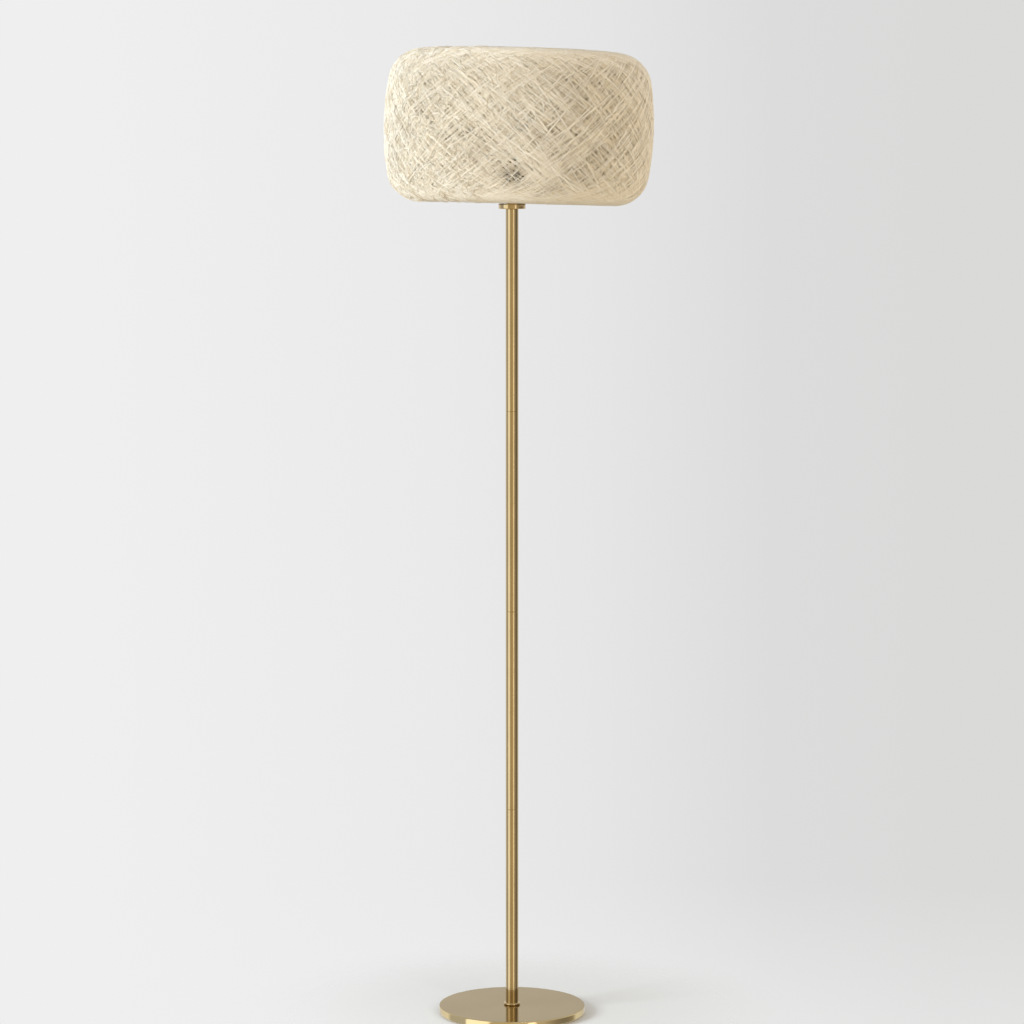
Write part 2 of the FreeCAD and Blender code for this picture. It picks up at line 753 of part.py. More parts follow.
def finial():
    """Turned knob screwed down on the spider's hub; its thread is left smooth."""
    ball_z = FINIAL_H - 2 * FINIAL_BALL_R
    knob = turned(
        [
            (0, 0, 0),
            (FINIAL_BASE_R, 0, FINIAL_FOOT_EDGE_R),
            (FINIAL_BASE_R, FINIAL_BASE_T, FINIAL_BASE_EDGE_R),
            (FINIAL_WAIST_R, ball_z + FINIAL_WAIST_H, FINIAL_BASE_EDGE_R),
            (FINIAL_BALL_R, ball_z + FINIAL_BALL_RISE, FINIAL_BALL_FOOT_R),
            (FINIAL_BALL_R, FINIAL_H, FINIAL_CROWN_R),
            (0, FINIAL_H, 0),
        ],
        FINIAL_Z,
    )
    start = FreeCAD.Vector(0, 0, FINIAL_Z)
    return knob.cut(rod(STUD_R + RUN_GAP, start, Z_AXIS, FINIAL_BORE_D))


# ---- shade -----------------------------------------------------------------------------------


def drum_point(angle, inset):
    """(radius, height from the middle) where the outline, inset from the outer face, slopes so."""
    if abs(angle) <= SIDE_ANGLE:
        reach = SHADE_SIDE_R - inset
        return SIDE_CENTRE_R + reach * math.cos(angle), reach * math.sin(angle)
    reach = SHADE_CORNER_R - inset
    centre_h = math.copysign(CORNER_CENTRE_H, angle)
    return CORNER_CENTRE_R + reach * math.cos(angle), centre_h + reach * math.sin(angle)


def drum_edges(inset, mouth_r):
    """Outline from the top mouth round to the bottom mouth, in the XZ plane at SHADE_MID_Z."""

    def at(angle):
        r, h = drum_point(angle, inset)
        return FreeCAD.Vector(r, 0, SHADE_MID_Z + h)

    right = math.pi / 2
    bend = (right + SIDE_ANGLE) / 2
    lip_h = SHADE_H / 2 - inset
    top = FreeCAD.Vector(mouth_r, 0, SHADE_MID_Z + lip_h)
    foot = FreeCAD.Vector(mouth_r, 0, SHADE_MID_Z - lip_h)
    return [
        Part.LineSegment(top, at(right)).toShape(),
        Part.Arc(at(right), at(bend), at(SIDE_ANGLE)).toShape(),
        Part.Arc(at(SIDE_ANGLE), at(0), at(-SIDE_ANGLE)).toShape(),
        Part.Arc(at(-SIDE_ANGLE), at(-bend), at(-right)).toShape(),
        Part.LineSegment(at(-right), foot).toShape(),
    ]


def shade_core():
    """Inner layers of the winding as one stiff skin, open at both mouths."""
    outer = drum_edges(CORE_INSET, SHADE_MOUTH_R)
    inner = drum_edges(CORE_INSET + SHADE_CORE_T, SHADE_MOUTH_R)
    ends = [
        Part.LineSegment(outer[0].Vertexes[0].Point, inner[0].Vertexes[0].Point).toShape(),
        Part.LineSegment(outer[-1].Vertexes[-1].Point, inner[-1].Vertexes[-1].Point).toShape(),
    ]
    face = Part.Face(Part.Wire(Part.__sortEdges__(outer + inner + ends)))
    return face.revolve(ORIGIN, Z_AXIS, 360)


def mouth_ring(side):
    """Wire hoop at the top mouth (side 1) or the bottom mouth (side -1)."""
    height = SHADE_H / 2 - WIRE_FACE_INSET - RING_WIRE_R
    at = FreeCAD.Vector(0, 0, SHADE_MID_Z + side * height)
    return Part.makeTorus(RING_R, RING_WIRE_R, at, Z_AXIS)


def cage_rib(hoops):
    """Upright wire that gives the drum its outline, welded to the outside of both hoops."""
    rib = wire_rod(drum_edges(WIRE_FACE_INSET + RIB_WIRE_R, RING_R), RIB_WIRE_R)
    return rib.cut(hoops)


def spider_arm(hub, hoop):
    """Wire from the hub, which sits below the top mouth, out and up to the top hoop."""
    hub_z = HUB_Z + HUB_T / 2
    ring_z = SHADE_MID_Z + SHADE_H / 2 - WIRE_FACE_INSET - RING_WIRE_R
    arm = wire_rod(
        rounded_path(
            [(HUB_R - ARM_IN_HUB, hub_z, 0), (ARM_FLAT_L, hub_z, ARM_BEND_R), (RING_R, ring_z, 0)]
        ),
        ARM_WIRE_R,
    )
    return arm.cut([hub, hoop])


def strand_point(phase):
    """Middle of the strand: it swings from mouth to mouth as it goes round, each up-stroke one
    layer under the down-strokes."""
    swing = math.asin(STRAND_SHARPNESS * math.sin(phase)) / math.asin(STRAND_SHARPNESS)
    along = STRAND_REACH * swing
    layer = math.tanh(STRAND_LAYER_CHANGE * math.cos(phase))
    inset = STRAND_MID_INSET + layer * STRAND_LAYER_STEP / 2
    far = abs(along)
    if far <= SIDE_L:
        angle = far / SHADE_SIDE_R
    else:
        angle = SIDE_ANGLE + min(far - SIDE_L, CORNER_L) / SHADE_CORNER_R
    r, h = drum_point(angle, inset)
    r -= max(0.0, far - SIDE_L - CORNER_L)
    turn = phase * STRAND_TURNS / STRAND_LOOPS
    z = SHADE_MID_Z + math.copysign(h, along)
    return FreeCAD.Vector(r * math.cos(turn), r * math.sin(turn), z)


def half_arc(start, tangent, end):
    """Arc from start, leaving along tangent, to end."""
    chord = end - start
    away = chord - tangent * chord.dot(tangent)
    if away.Length < 1e-7:
        return Part.LineSegment(start, end)
    away.normalize()
    radius = chord.Length**2 / (2 * chord.dot(away))
    centre = start + away * radius
    middle = centre + (start + chord * 0.5 - centre).normalize() * abs(radius)
    return Part.Arc(start, middle, end)


def biarc(start, start_dir, end, end_dir):
    """Two tangent arcs from start to end that keep both directions."""
    chord = end - start
    both = start_dir + end_dir
    a = 2 * (1 - start_dir.dot(end_dir))
    b = 2 * chord.dot(both)
    c = -chord.dot(chord)
    reach = -c / b if a < 1e-9 else (-b + math.sqrt(b * b - 4 * a * c)) / (2 * a)
    joint = (start + end + (start_dir - end_dir) * reach) * 0.5
    back = half_arc(end, end_dir * -1, joint)
    first = half_arc(start, start_dir, joint)
    middle = back.value((back.FirstParameter + back.LastParameter) / 2)
    return [first.toShape(), Part.Arc(joint, middle, end).toShape()]


def strand_phases():
    """Phases where the strand's arcs meet: even steps along the side and even steps round each
    corner of the drum, so that no arc spans the line where the two curves meet."""
    stops = [SIDE_L * i / STRAND_SIDE_SPANS for i in range(STRAND_SIDE_SPANS)]
    corner_step = (STRAND_REACH - SIDE_L) / STRAND_CORNER_SPANS
    stops += [SIDE_L + corner_step * i for i in range(STRAND_CORNER_SPANS + 1)]
    top = math.asin(STRAND_SHARPNESS)
    rise = []
    for stop in stops:
        swing = math.sin(top * stop / STRAND_REACH) / STRAND_SHARPNESS
        rise.append(math.asin(min(1.0, swing)))
    half = rise + [math.pi - p for p in reversed(rise[1:-1])]
    phases = [math.pi * i + p for i in range(2 * STRAND_LOOPS) for p in half]
    return [STRAND_LEFT_OPEN] + phases[1:] + [2 * math.pi * STRAND_LOOPS - STRAND_LEFT_OPEN]


def strand_edges():
    phases = strand_phases()
    spans = len(phases) - 1
    tiny = 1e-5
    points = [strand_point(p) for p in phases]
    ways = [(strand_point(p + tiny) - strand_point(p - tiny)).normalize() for p in phases]
    edges = []
    for i in range(spans):
        edges += biarc(points[i], ways[i], points[i + 1], ways[i + 1])
    return edges


def least_self_gap(edges):
    """Least gap between two stretches of the strand, measured on points along it."""
    step = 1.5
    points, far = [], []
    gone = 0.0
    for edge in edges:
        count = max(2, int(edge.Length / step))
        for point in edge.discretize(count)[:-1]:
            points.append(point)
            far.append(gone)
            gone += edge.Length / (count - 1)
    cell = 8.0
    grid = {}
    for i, p in enumerate(points):
        grid.setdefault((int(p.x // cell), int(p.y // cell), int(p.z // cell)), []).append(i)
    least = 1e9
    steps = (-1, 0, 1)
    near = [(a, b, c) for a in steps for b in steps for c in steps]
    for (x, y, z), here in grid.items():
        for a, b, c in near:
            for j in grid.get((x + a, y + b, z + c), ()):
                for i in here:
                    if far[j] - far[i] > 6 * cell:
                        least = min(least, (points[i] - points[j]).Length)
    return least - 2 * STRAND_R


def shade_winding():
    """Outer strand of the winding as one unbroken tube."""
    edges = strand_edges()
    radii = [e.Curve.Radius for e in edges if hasattr(e.Curve, "Radius")]
    length = sum(e.Length for e in edges)
    tube = wire_rod(edges, STRAND_R)
    share = tube.Volume / (math.pi * STRAND_R**2 * length)
    print(f"strand: {STRAND_LOOPS} loops, {length / 1000:.2f} m, least radius {min(radii):.1f} mm")
    print(f"strand: least gap to itself {least_self_gap(edges):.2f} mm, volume share {share:.4f}")
    return tube


def shade_nodes():
    hub = ring(HUB_R, STUD_R + SLIDE_GAP, HUB_Z, HUB_T, HUB_EDGE_R)
    top_hoop, foot_hoop = mouth_ring(1), mouth_ring(-1)
    rib = cage_rib([top_hoop, foot_hoop])
    arm = spider_arm(hub, top_hoop)
    nodes = {
        "shade_core": shade_core(),
        "shade_winding": shade_winding(),
        "shade_top_ring": top_hoop,
        "shade_bottom_ring": foot_hoop,
        "spider_hub": hub,
    }
    for i in range(ARMS):
        nodes[f"spider_arm_{i + 1}"] = about_z(arm, ARM_FIRST_DEG + i * 360 / ARMS)
    for i in range(RIBS):
        nodes[f"cage_rib_{i + 1}"] = about_z(rib, RIB_FIRST_DEG + i * 360 / RIBS)
    return nodes


# ---- all nodes -------------------------------------------------------------------------------


def all_nodes():
    nodes = {}
    nodes.update(base_nodes())
    nodes.update(pole_nodes())
    nodes.update(holder_nodes())
    nodes.update(key_nodes())
    nodes.update(bulb_nodes())
    nodes["harp_saddle"] = harp_saddle()
    nodes["harp_wire"] = harp_wire()
    nodes["harp_feet"] = harp_feet()
    nodes["harp_sleeve_front"] = harp_sleeve(-1)
    nodes["harp_sleeve_back"] = harp_sleeve(1)
    nodes["harp_swivel"] = harp_swivel()
    nodes["finial"] = finial()
    nodes.update(shade_nodes())
    return nodes


os.makedirs("parts", exist_ok=True)
for name, shape in all_nodes().items():
    if not shape.isValid():
        print("not valid:", name)
    shape.exportStep(f"parts/{name}.step")
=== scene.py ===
import math

import bpy
import numpy as np
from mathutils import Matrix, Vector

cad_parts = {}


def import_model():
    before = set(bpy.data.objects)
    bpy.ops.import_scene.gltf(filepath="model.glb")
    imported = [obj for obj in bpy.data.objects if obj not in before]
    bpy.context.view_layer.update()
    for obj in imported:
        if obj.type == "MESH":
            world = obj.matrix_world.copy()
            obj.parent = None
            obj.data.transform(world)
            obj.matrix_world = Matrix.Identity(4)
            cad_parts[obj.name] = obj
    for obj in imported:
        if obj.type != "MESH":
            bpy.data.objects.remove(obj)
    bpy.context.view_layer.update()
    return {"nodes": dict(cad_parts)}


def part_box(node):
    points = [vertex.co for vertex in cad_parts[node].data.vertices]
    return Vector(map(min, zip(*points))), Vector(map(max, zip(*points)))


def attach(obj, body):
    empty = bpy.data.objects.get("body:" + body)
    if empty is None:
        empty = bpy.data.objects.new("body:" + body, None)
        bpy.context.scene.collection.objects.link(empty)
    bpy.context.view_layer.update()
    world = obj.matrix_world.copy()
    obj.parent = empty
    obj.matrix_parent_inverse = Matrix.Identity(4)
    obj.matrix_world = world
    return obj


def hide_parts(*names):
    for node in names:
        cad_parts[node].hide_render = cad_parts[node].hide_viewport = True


# Floor lamp: a drum shade of natural fibre wound over a cage of wire, on a brass pole and a round
# base. Everything is in metres, +Z up, and the camera stands on the -Y side.

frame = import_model()
NODES = frame["nodes"]
SCENE = bpy.context.scene
RNG = np.random.default_rng(20260)

# ---- sizes -----------------------------------------------------------------------------------

# outer face of the drum
DRUM_R = 0.1985
DRUM_H = 0.222
DRUM_SIDE_R = 0.430
DRUM_CORNER_R = 0.050
DRUM_MID_Z = 1.3278

# the rim, where the strands roll over the mouth's hoop
RIM_R = 0.1426
ROLL_R = 0.0074

# cage of wires, WIRE_INSET below the drum's face: two hoops, ribs, and arms that rise from the hub to
# the top hoop. FIRST_ is where the first rib or arm stands, in degrees round the pole.
WIRE_INSET = 0.0092
HOOP_R = 0.142
HOOP_WIRE_R = 0.002
RIBS = 8
FIRST_RIB = 22.5
RIB_WIRE_R = 0.0015
ARMS = 3
FIRST_ARM = 90
ARM_WIRE_R = 0.00175
ARM_FLAT_L = 0.045
ARM_IN_HUB = 0.001
HUB_R = 0.013
HUB_MID_Z = 1.4196

# how the wound shade hangs: it leans to the right about the hub's height and stands off to that
# side. Nothing moves within STILL_R of the pole's axis, and all of it does from BEND_L further out.
LEAN = math.radians(1.5)
SHIFT = 0.0127
STILL_R = 0.015
BEND_L = 0.120

# base: a painted highlight on the rim, whose brighter colour gives way to the top's between these depths
# below the top
BASE_TOP_Z = float(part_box("base_plate")[1][2])
RIM_ENDS = 0.0006
TOP_STARTS = 0.0001

# ring at the pole's foot
RING_BORE_R = 0.0096
RING_H = 0.0036

# floor: a disc that fades out between two radii
FLOOR_R = 0.46
FADE_FROM_R = 0.135
FADE_TO_R = 0.45

# ---- node helpers ----------------------------------------------------------------------------


class Nodes:
    """Short way to write a material's or the world's node tree."""

    def __init__(self, tree):
        self.tree = tree

    def add(self, kind, **settings):
        node = self.tree.nodes.new("ShaderNode" + kind)
        for name, value in settings.items():
            setattr(node, name, value)
        return node

    def put(self, socket, value):
        """Links another node's socket, or sets a plain value."""
        if isinstance(value, bpy.types.NodeSocket):
            self.tree.links.new(value, socket)
        else:
            socket.default_value = value

    def place(self, kind="Object"):
        """Texture coordinates: the object's own, UV, or Generated, a direction in the world."""
        return self.add("TexCoord").outputs[kind]

    def split(self, vector):
        node = self.add("SeparateXYZ")
        self.put(node.inputs[0], vector)
        return tuple(node.outputs)

    def math(self, operation, a, b=0.0):
        node = self.add("Math", operation=operation)
        for socket, value in zip(node.inputs, (a, b)):
            self.put(socket, value)
        return node.outputs[0]

    def reach(self, x, y):
        """How far (x, y) is from (0, 0)."""
        squares = self.math("ADD", self.math("MULTIPLY", x, x), self.math("MULTIPLY", y, y))
        return self.math("SQRT", squares)

    def mapped(self, vector, scale):
        node = self.add("Mapping")
        self.put(node.inputs["Vector"], vector)
        node.inputs["Scale"].default_value = scale
        return node.outputs[0]

    def noise(self, vector, scale, detail=2.0, rough=0.5):
        node = self.add("TexNoise")
        self.put(node.inputs["Vector"], vector)
        node.inputs["Scale"].default_value = scale
        node.inputs["Detail"].default_value = detail
        node.inputs["Roughness"].default_value = rough
        return node.outputs["Fac"]

    def spread(self, value, low, high, to_low=0.0, to_high=1.0, smooth=False):
        """Maps low to high on to_low to to_high, and keeps to that range."""
        node = self.add("MapRange", interpolation_type="SMOOTHSTEP" if smooth else "LINEAR")
        for socket, v in zip(node.inputs, (value, low, high, to_low, to_high)):
            self.put(socket, v)
        return node.outputs[0]

    def ramp(self, value, stops):
        """Colour ramp whose stops are a position and a colour each."""
        node = self.add("ValToRGB")
        self.put(node.inputs[0], value)
        band = node.color_ramp
        while len(band.elements) < len(stops):
            band.elements.new(0.5)
        for element, (position, colour) in zip(band.elements, stops):
            element.position = position
            element.color = (*colour, 1.0)
        return node.outputs[0]

    def mix(self, amount, a, b):
        """Colour a where amount is 0 and b where it is 1."""
        node = self.add("Mix", data_type="RGBA")
        self.put(node.inputs[0], amount)
        for socket, value in ((node.inputs[6], a), (node.inputs[7], b)):
            self.put(socket, value if isinstance(value, bpy.types.NodeSocket) else (*value, 1.0))
        return node.outputs[2]

    def bump(self, height, strength, distance):
        node = self.add("Bump")
        self.put(node.inputs["Height"], height)
        node.inputs["Strength"].default_value = strength
        node.inputs["Distance"].default_value = distance
        return node.outputs[0]


def material(name, metallic=0.0, rough=0.5):
    """A new material, its node tree and its shader."""
    mat = bpy.data.materials.new(name)
    mat.use_nodes = True
    tree = Nodes(mat.node_tree)
    shader = mat.node_tree.nodes["Principled BSDF"]
    shader.inputs["Metallic"].default_value = metallic
    shader.inputs["Roughness"].default_value = rough
    return mat, tree, shader


# ---- materials -------------------------------------------------------------------------------

# how close the fine lines lie, per metre, on turned and on brushed brass
TURNED_LINES = 2600.0
BRUSHED_LINES = (260, 260, 6)


def brass(name, base, rough, turned=False, edge=(1.0, 1.0, 1.0), rim_highlight=None):
    """Lacquered brass with fine brushing, along the pole or turned round its axis. edge tints what
    it mirrors at a low angle, and the colour given for the rim is a brighter one below the edge of the
    base's top, a painted highlight."""
    mat, t, shader = material(name, metallic=1.0, rough=rough)
    where = t.place()
    if turned:
        x, y, z = t.split(where)
        joined = t.add("CombineXYZ")
        t.put(joined.inputs[0], t.math("MULTIPLY", t.reach(x, y), TURNED_LINES))
        t.put(joined.inputs[1], t.math("MULTIPLY", z, TURNED_LINES))
        lines = t.noise(joined.outputs[0], 1.0, 3.0, 0.6)
    else:
        lines = t.noise(t.mapped(where, BRUSHED_LINES), 9.0, 3.0, 0.6)
    cloud = t.noise(where, 9.0, 3.0)
    dark = tuple(v * 0.90 for v in base)
    tone = t.mix(t.spread(cloud, 0.35, 0.65), dark, base)
    # painted highlight: below the top's edge the base takes a brighter colour
    if rim_highlight:
        tone = t.mix(t.spread(z, BASE_TOP_Z - RIM_ENDS, BASE_TOP_Z - TOP_STARTS), rim_highlight, tone)
    t.put(shader.inputs["Base Color"], t.mix(t.spread(lines, 0.3, 0.7, 0.0, 0.35), tone, dark))
    t.put(shader.inputs["Roughness"], t.spread(lines, 0.2, 0.8, rough * 0.85, rough * 1.2))
    t.put(shader.inputs["Normal"], t.bump(lines, 0.12, 0.0002))
    shader.inputs["Specular Tint"].default_value = (*edge, 1.0)
    shader.inputs["Coat Weight"].default_value = 0.04
    shader.inputs["Coat Roughness"].default_value = 0.10
    return mat


def plain_metal(name, base, rough):
    """Plated or plain metal with a little cloudiness."""
    mat, t, shader = material(name, metallic=1.0, rough=rough)
    cloud = t.noise(t.place(), 120.0, 4.0)
    dark = tuple(v * 0.8 for v in base)
    t.put(shader.inputs["Base Color"], t.mix(t.spread(cloud, 0.3, 0.7), dark, base))
    t.put(shader.inputs["Roughness"], t.spread(cloud, 0.3, 0.7, rough * 0.8, rough * 1.25))
    return mat


def coated(name, base, rough, grain=900.0, depth=0.0001, low=0.75):
    """Paint, rubber, moulding or paper: a base colour with a little mottling and grain."""
    mat, t, shader = material(name, rough=rough)
    where = t.place()
    cloud = t.noise(where, 60.0, 3.0)
    fine = t.noise(where, grain, 2.0)
    dark = tuple(v * low for v in base)
    t.put(shader.inputs["Base Color"], t.mix(t.spread(cloud, 0.3, 0.7), dark, base))
    t.put(shader.inputs["Roughness"], t.spread(fine, 0.3, 0.7, rough * 0.85, min(1.0, rough * 1.15)))
    t.put(shader.inputs["Normal"], t.bump(fine, 0.3, depth))
    return mat


def frosted_glass():
    """The bulb's glass, white inside."""
    mat, t, shader = material("bulb_frosted", rough=0.35)
    cloud = t.noise(t.place(), 40.0, 2.0)
    t.put(shader.inputs["Base Color"], t.mix(cloud, (0.86, 0.85, 0.82), (0.93, 0.93, 0.91)))
    shader.inputs["Transmission Weight"].default_value = 0.25
    shader.inputs["IOR"].default_value = 1.45
    return mat


def fibre(name, dark, middle, light):
    """Flat natural strand: each has its own tint, with patches and fine streaks along it."""
    mat, t, shader = material(name, rough=0.72)
    shader.inputs["Specular IOR Level"].default_value = 0.30
    tint = t.add("Attribute", attribute_name="tint")
    along = t.place("UV")
    streak = t.noise(t.mapped(along, (90.0, 5.0, 1.0)), 3.0, 3.0, 0.6)
    patch = t.noise(t.mapped(along, (14.0, 0.5, 1.0)), 1.0, 2.0)
    tone = t.math("ADD", tint.outputs["Fac"], t.spread(patch, 0.2, 0.8, -0.22, 0.22))
    colour = t.ramp(tone, [(0.0, dark), (0.5, middle), (1.0, light)])
    shade = tuple(v * 0.72 for v in dark)
    t.put(shader.inputs["Base Color"], t.mix(t.spread(streak, 0.25, 0.55, 0.45, 0.0), colour, shade))
    t.put(shader.inputs["Roughness"], t.spread(streak, 0.2, 0.8, 0.62, 0.85))
    t.put(shader.inputs["Normal"], t.bump(streak, 0.5, 0.0004))
    return mat


POLE_BRASS = brass("pole_brass", (0.66, 0.51, 0.28), 0.10)
# the base's rim takes a brighter colour below its top: a painted highlight
BASE_BRASS = brass(
    "base_brass", (0.55, 0.41, 0.20), 0.09, turned=True, edge=(0.79, 0.79, 0.77), rim_highlight=(0.93, 0.75, 0.42)
)
TURNED_BRASS = brass("turned_brass", (0.68, 0.52, 0.28), 0.07, turned=True)
PLAIN_BRASS = plain_metal("plain_brass", (0.78, 0.60, 0.33), 0.3)
ZINC = plain_metal("zinc", (0.62, 0.62, 0.63), 0.35)
BRASSED = plain_metal("brassed_steel", (0.74, 0.58, 0.34), 0.28)
CAP_METAL = plain_metal("cap_metal", (0.82, 0.82, 0.82), 0.22)
RUBBER = coated("rubber", (0.025, 0.025, 0.025), 0.85)
BLACK = coated("moulded_black", (0.022, 0.021, 0.020), 0.45, depth=0.00005)
PHENOLIC = coated("phenolic", (0.05, 0.038, 0.030), 0.30, depth=0.00003)
LINER = coated("liner_paper", (0.42, 0.33, 0.23), 0.90)
WHITE_WIRE = coated("white_lacquer", (0.78, 0.75, 0.67), 0.40, depth=0.00004, low=0.92)
BULB = frosted_glass()
FIBRE = fibre("fibre", (0.67, 0.55, 0.38), (0.81, 0.71, 0.55), (0.92, 0.855, 0.745))

DRESS = {
    "base_plate": BASE_BRASS,
    "base_foot_pad": RUBBER,
    "cord_bushing": BLACK,
    "top_flange": TURNED_BRASS,
    "finial": TURNED_BRASS,
    "harp_swivel": TURNED_BRASS,
    "key_stem": PLAIN_BRASS,
    "harp_feet": PLAIN_BRASS,
    "harp_sleeve_front": PLAIN_BRASS,
    "harp_sleeve_back": PLAIN_BRASS,
    "screw_shell": PLAIN_BRASS,
    "centre_contact": PLAIN_BRASS,
    "bulb_tip": PLAIN_BRASS,
    "terminal_screws": PLAIN_BRASS,
    "harp_saddle": BRASSED,
    "harp_wire": BRASSED,
    "holder_cap": BLACK,
    "holder_shell": BLACK,
    "key_knob": BLACK,
    "switch_body": PHENOLIC,
    "bulb_insulator": PHENOLIC,
    "holder_liner": LINER,
    "bulb_glass": BULB,
    "bulb_cap": CAP_METAL,
    "spider_hub": WHITE_WIRE,
}
for name in ("base_washer", "base_nut", "base_pipe", "top_pipe", "cap_nut", "pole_plugs", "pole_joiners"):
    DRESS[name] = ZINC
for i in range(1, 5):
    DRESS[f"pole_section_{i}"] = POLE_BRASS

for name, mat in DRESS.items():
    mesh = NODES[name].data
    mesh.materials.clear()
    mesh.materials.append(mat)

# ---- mesh helpers ----------------------------------------------------------------------------

# points of one ring of a turned shape
SPOKES = 96


def piece(name, verts, faces, mat, body, replaces=()):
    """A smooth mesh with the given material, that rides on a body and hides the CAD nodes it stands for.
    """
    mesh = bpy.data.meshes.new(name)
    mesh.from_pydata(verts.tolist(), [], faces if isinstance(faces, list) else faces.tolist())
    mesh.materials.append(mat)
    mesh.shade_smooth()
    obj = bpy.data.objects.new(name, mesh)
    SCENE.collection.objects.link(obj)
    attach(obj, body)
    if replaces:
        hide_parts(*replaces)
    return obj


def ease(share):
    """A share from 0 to 1 that starts and ends gently."""
    share = np.clip(share, 0.0, 1.0)
    return share * share * (3 - 2 * share)


def hang(points):
    """Where the leaning shade carries these points; near the hub nothing moves."""
    x, y, z = points[..., 0], points[..., 1], points[..., 2]
    far = ease((np.hypot(x, y) - STILL_R) / BEND_L)
    up = z - HUB_MID_Z
    new_x = x * math.cos(LEAN) + up * math.sin(LEAN) + SHIFT
    new_z = -x * math.sin(LEAN) + up * math.cos(LEAN) + HUB_MID_Z
    return np.stack([x + far * (new_x - x), y, z + far * (new_z - z)], axis=-1)


def ring_quads(rings, sides, closed=False):
    """Quads between neighbouring rings of points, and from the last to the first if closed."""
    faces = []
    for i in range(rings if closed else rings - 1):
        j = (i + 1) % rings
        for k in range(sides):
            m = (k + 1) % sides
            faces.append([i * sides + k, i * sides + m, j * sides + m, j * sides + k])
    return faces


def tube(path, radius, sides, closed=False):
    """Round wire along a path of points: its vertices and faces, with flat ends unless closed. Its
    rings are set square to the path by the way out from the pole, with a little of the way up for a
    path that starts on the axis."""
    ahead = np.roll(path, -1, axis=0)
    behind = np.roll(path, 1, axis=0)
    along = ahead - behind
    if not closed:
        along[0] = path[1] - path[0]
        along[-1] = path[-1] - path[-2]
    along /= np.linalg.norm(along, axis=1, keepdims=True)
    out = path * np.array([1.0, 1.0, 0.0]) + np.array([0.0, 0.0, 0.001])
    side = np.cross(along, out)
    side /= np.linalg.norm(side, axis=1, keepdims=True)
    up = np.cross(side, along)
    angle = np.arange(sides) * 2 * math.pi / sides
    cos, sin = np.cos(angle)[None, :, None], np.sin(angle)[None, :, None]
    ring = cos * side[:, None, :] + sin * up[:, None, :]
    verts = (path[:, None, :] + radius * ring).reshape(-1, 3)
    faces = ring_quads(len(path), sides, closed)
    if not closed:
        faces.append(list(range(sides))[::-1])
        faces.append([(len(path) - 1) * sides + k for k in range(sides)])
    return verts, faces


def polar(theta, r, z):
    """Points, or normals, from angles round the pole's axis, radii and heights."""
    theta, r, z = np.broadcast_arrays(theta, r, z)
    return np.stack([r * np.cos(theta), r * np.sin(theta), z], axis=-1)


def spun(r, z):
    """Points of a profile turned round the pole's axis, one ring for each point of the profile."""
    theta = np.arange(SPOKES) * 2 * math.pi / SPOKES
    return polar(theta, r[:, None], z[:, None]).reshape(-1, 3)


# ---- the drum's outline ----------------------------------------------------------------------

# A wide arc up the side, a corner arc, a flat lip and a roll round the rim, the same above and below
# the middle. _C is the radius at which an arc's centre stands, and _L is a length of the outline.
CORNER_H = DRUM_H / 2 - DRUM_CORNER_R
SIDE_C = DRUM_R - DRUM_SIDE_R
CORNER_C = SIDE_C + math.sqrt((DRUM_SIDE_R - DRUM_CORNER_R) ** 2 - CORNER_H**2)
SIDE_ANGLE = math.asin(CORNER_H / (DRUM_SIDE_R - DRUM_CORNER_R))
SIDE_L = DRUM_SIDE_R * SIDE_ANGLE
CORNER_L = DRUM_CORNER_R * (math.pi / 2 - SIDE_ANGLE)
LIP_L = CORNER_C - RIM_R
MOUTH_S = SIDE_L + CORNER_L + LIP_L
ROLL_L = math.pi * ROLL_R

# towards the lip every strand comes this share nearer to the drum's face
LIP_PRESS = 0.85

# past the roll a strand turns back under the lip, and comes this near to its face within UNDER_L
UNDER_INSET = 0.0085
UNDER_L = 0.020


def outline(s):
    """Radius, height and normal of the drum's face at s along its outline from the middle. Past
    the lip it rolls round the rim."""
    far = np.abs(s)
    angle = np.where(far <= SIDE_L, far / DRUM_SIDE_R, SIDE_ANGLE + (far - SIDE_L) / DRUM_CORNER_R)
    angle = np.minimum(angle, math.pi / 2)
    on_side = far <= SIDE_L
    r = np.where(on_side, SIDE_C + DRUM_SIDE_R * np.cos(angle), CORNER_C + DRUM_CORNER_R * np.cos(angle))
    h = np.where(on_side, DRUM_SIDE_R * np.sin(angle), CORNER_H + DRUM_CORNER_R * np.sin(angle))
    out_r, out_h = np.cos(angle), np.sin(angle)
    r = r - np.clip(far - SIDE_L - CORNER_L, 0.0, LIP_L)
    turn = np.clip((far - MOUTH_S) / ROLL_R, 0.0, math.pi)
    rolled = far > MOUTH_S
    r = np.where(rolled, RIM_R - ROLL_R * np.sin(turn), r)
    h = np.where(rolled, DRUM_H / 2 - ROLL_R + ROLL_R * np.cos(turn), h)
    out_r = np.where(rolled, -np.sin(turn), out_r)
    out_h = np.where(rolled, np.cos(turn), out_h)
    sign = np.where(s < 0, -1.0, 1.0)
    return r, h * sign, out_r, out_h * sign


